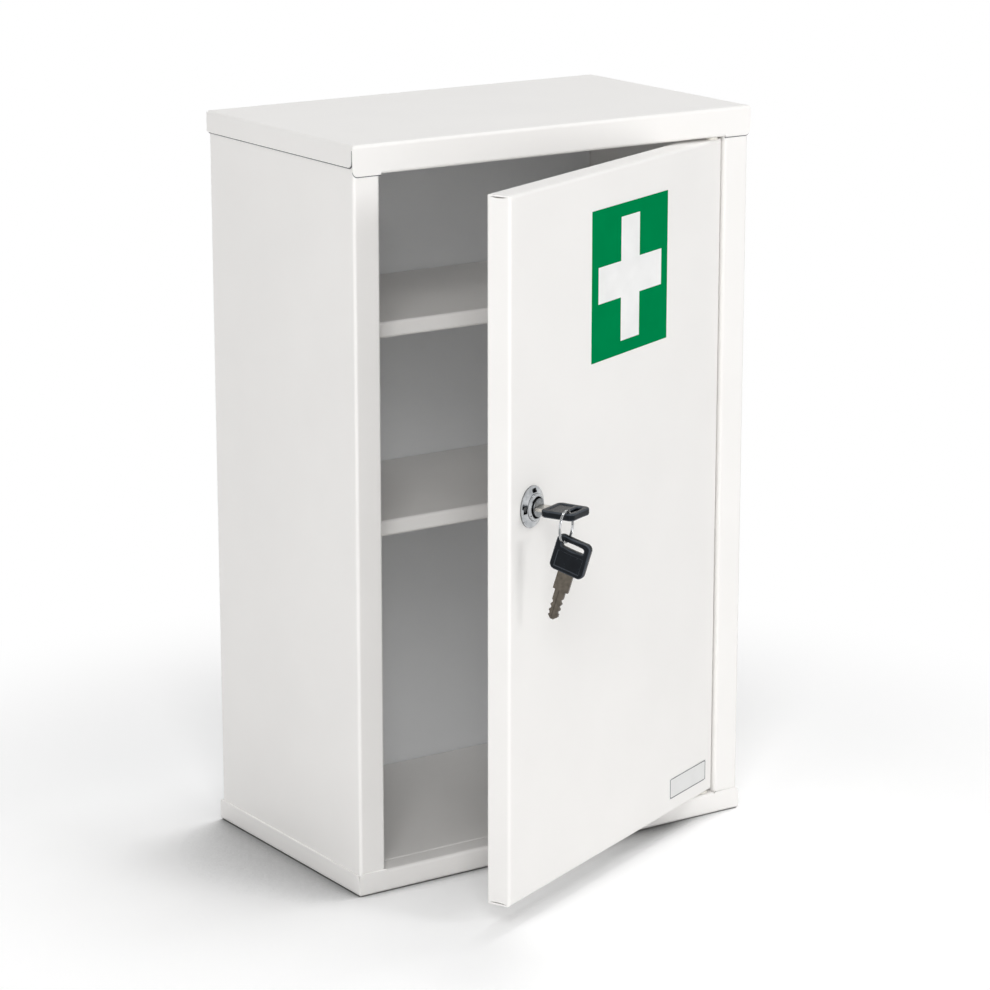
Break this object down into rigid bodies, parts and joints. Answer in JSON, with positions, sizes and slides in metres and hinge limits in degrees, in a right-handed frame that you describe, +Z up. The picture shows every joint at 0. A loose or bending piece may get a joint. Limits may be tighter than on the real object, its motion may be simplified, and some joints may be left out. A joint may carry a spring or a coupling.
{
  "type": "lockable medicine cabinet",
  "caption": "Wall-mounted sheet-steel medicine cabinet with fixed shelves, a hinged door with a first-aid sign, and a cam lock with keys on a ring.",
  "frame": {"origin": "middle of the base's footprint, on the floor", "axes": "+Z up, the door and the front face -Y, +X to the right of someone facing the front"},
  "size_m": [0.29, 0.3024, 0.46],
  "materials": {
    "powder_coat": "satin white powder coat",
    "zinc_steel": "zinc plated",
    "nickel_steel": "nickel plated, worn",
    "chrome": "polished",
    "brass": "stamped",
    "rubber": "matte",
    "nylon": "natural",
    "black_plastic": "moulded, satin",
    "green_film": "printed vinyl film",
    "white_film": "printed vinyl film",
    "silver_film": "silvery vinyl film"
  },
  "bodies": {
    "cabinet": {"left_side_panel": "powder_coat", "right_side_panel": "powder_coat", "back_panel": "powder_coat", "lid_pan": "powder_coat", "base_pan": "powder_coat", "floor_panel": "powder_coat", "upper_shelf": "powder_coat", "lower_shelf": "powder_coat", "upper_hinge_pin": "zinc_steel", "lower_hinge_pin": "zinc_steel", "door_bumpers": "rubber"},
    "door": {"door_pan": "powder_coat", "door_stiffener": "powder_coat", "upper_hinge_washer": "nylon", "lower_hinge_washer": "nylon", "sign_panel": "green_film", "sign_cross": "white_film", "blank_label": "silver_film", "lock_housing": "chrome", "lock_washer": "zinc_steel", "lock_nut": "zinc_steel"},
    "plug": {"lock_plug": "chrome", "lock_wafers": "brass", "lock_cam": "zinc_steel", "cam_screw": "zinc_steel"},
    "key": {"key_bow": "black_plastic", "key_blade": "nickel_steel"},
    "ring": {"key_ring": "chrome"},
    "spare_key": {"spare_key_bow": "black_plastic", "spare_key_blade": "nickel_steel"}
  },
  "joints": [
    {"name": "door_swing", "type": "hinge", "parent": "cabinet", "child": "door", "pos_m": [0.1185, -0.0795, 0.228], "axis": [0, 0, 1], "range_deg": [-24, 86]},
    {"name": "lock_turn", "type": "hinge", "parent": "door", "child": "plug", "pos_m": [-0.08019, -0.17289, 0.2555], "axis": [0.4067, -0.9135, 0], "range_deg": [0, 90]},
    {"name": "key_pull", "type": "slide", "parent": "plug", "child": "key", "axis": [0.4067, -0.9135, 0], "range_m": [0, 0.024]},
    {"name": "ring_swing", "type": "hinge", "parent": "key", "child": "ring", "pos_m": [-0.07666, -0.20295, 0.2555], "axis": [-0.4067, 0.9135, 0], "range_deg": [-20, 90]},
    {"name": "spare_key_swing", "type": "hinge", "parent": "ring", "child": "spare_key", "pos_m": [-0.07666, -0.20295, 0.24038], "axis": [0.8572, 0.515, 0], "range_deg": [-25, 15]}
  ]
}
